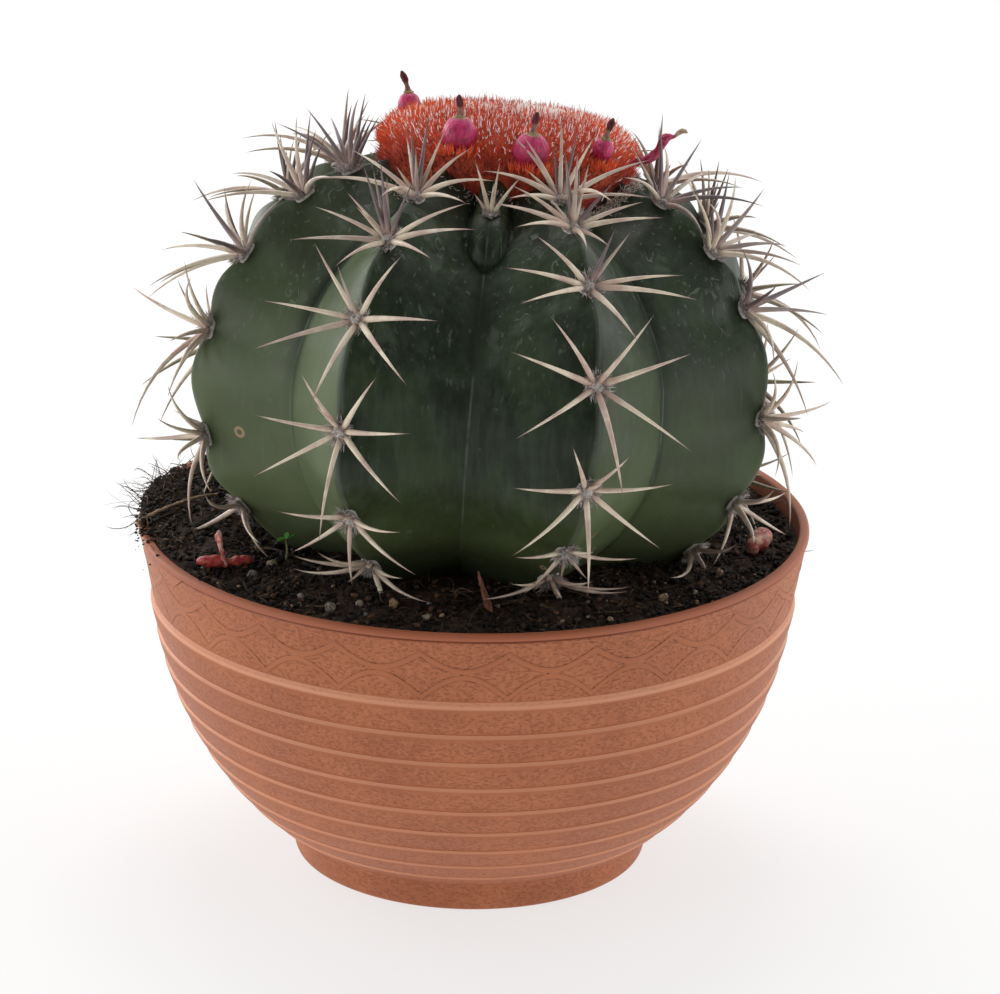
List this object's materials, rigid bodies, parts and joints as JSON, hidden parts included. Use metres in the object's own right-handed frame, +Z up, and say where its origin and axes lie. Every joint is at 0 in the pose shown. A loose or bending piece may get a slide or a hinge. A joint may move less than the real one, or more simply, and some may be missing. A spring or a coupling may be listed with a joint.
{
  "type": "potted round cactus",
  "caption": "Round ribbed cactus with curved spines and a red bristly cap bearing small pink fruits, in a ridged bowl-shaped plastic pot filled with dark soil.",
  "frame": {"origin": "middle of the flat underside of the bowl's foot, on the surface that the pot stands on", "axes": "+Z up along the bowl's axis of revolution; -Y faces the front, where the young rib stands between two full ribs; +X to the right"},
  "size_m": [0.1943, 0.2009, 0.225],
  "materials": {
    "bowl_plastic": "matte",
    "potting_soil": "matte",
    "cactus_skin": "satin",
    "spine": "satin",
    "red_bristle": "matte",
    "ripe_fruit": "satin",
    "dried_fruit_skin": "matte",
    "bark": "matte",
    "seedling_leaf": "satin"
  },
  "bodies": {
    "root": {"cactus_body": "cactus_skin", "cephalium": "red_bristle", "dried_fruit": "dried_fruit_skin", "fallen_fruit_left": "dried_fruit_skin", "fallen_fruit_right": "dried_fruit_skin", "fruit_1": "ripe_fruit", "fruit_2": "ripe_fruit", "fruit_3": "ripe_fruit", "fruit_4": "ripe_fruit", "pot": "bowl_plastic", "seedling": "seedling_leaf", "soil": "potting_soil", "spines_back_left_1": "spine", "spines_back_left_2": "spine", "spines_back_left_3": "spine", "spines_back_left_4": "spine", "spines_back_left_5": "spine", "spines_back_mid_left_1": "spine", "spines_back_mid_left_2": "spine", "spines_back_mid_left_3": "spine", "spines_back_mid_left_4": "spine", "spines_back_mid_left_5": "spine", "spines_back_mid_right_1": "spine", "spines_back_mid_right_2": "spine", "spines_back_mid_right_3": "spine", "spines_back_mid_right_4": "spine", "spines_back_mid_right_5": "spine", "spines_back_right_1": "spine", "spines_back_right_2": "spine", "spines_back_right_3": "spine", "spines_back_right_4": "spine", "spines_back_right_5": "spine", "spines_front_left_1": "spine", "spines_front_left_2": "spine", "spines_front_left_3": "spine", "spines_front_left_4": "spine", "spines_front_left_5": "spine", "spines_front_left_6": "spine", "spines_front_right_1": "spine", "spines_front_right_2": "spine", "spines_front_right_3": "spine", "spines_front_right_4": "spine", "spines_front_right_5": "spine", "spines_front_right_6": "spine", "spines_front_right_7": "spine", "spines_left_1": "spine", "spines_left_2": "spine", "spines_left_3": "spine", "spines_left_4": "spine", "spines_left_5": "spine", "spines_left_6": "spine", "spines_right_1": "spine", "spines_right_2": "spine", "spines_right_3": "spine", "spines_right_4": "spine", "spines_right_5": "spine", "spines_right_6": "spine", "spines_young_1": "spine", "wood_chip": "bark"}
  },
  "joints": []
}
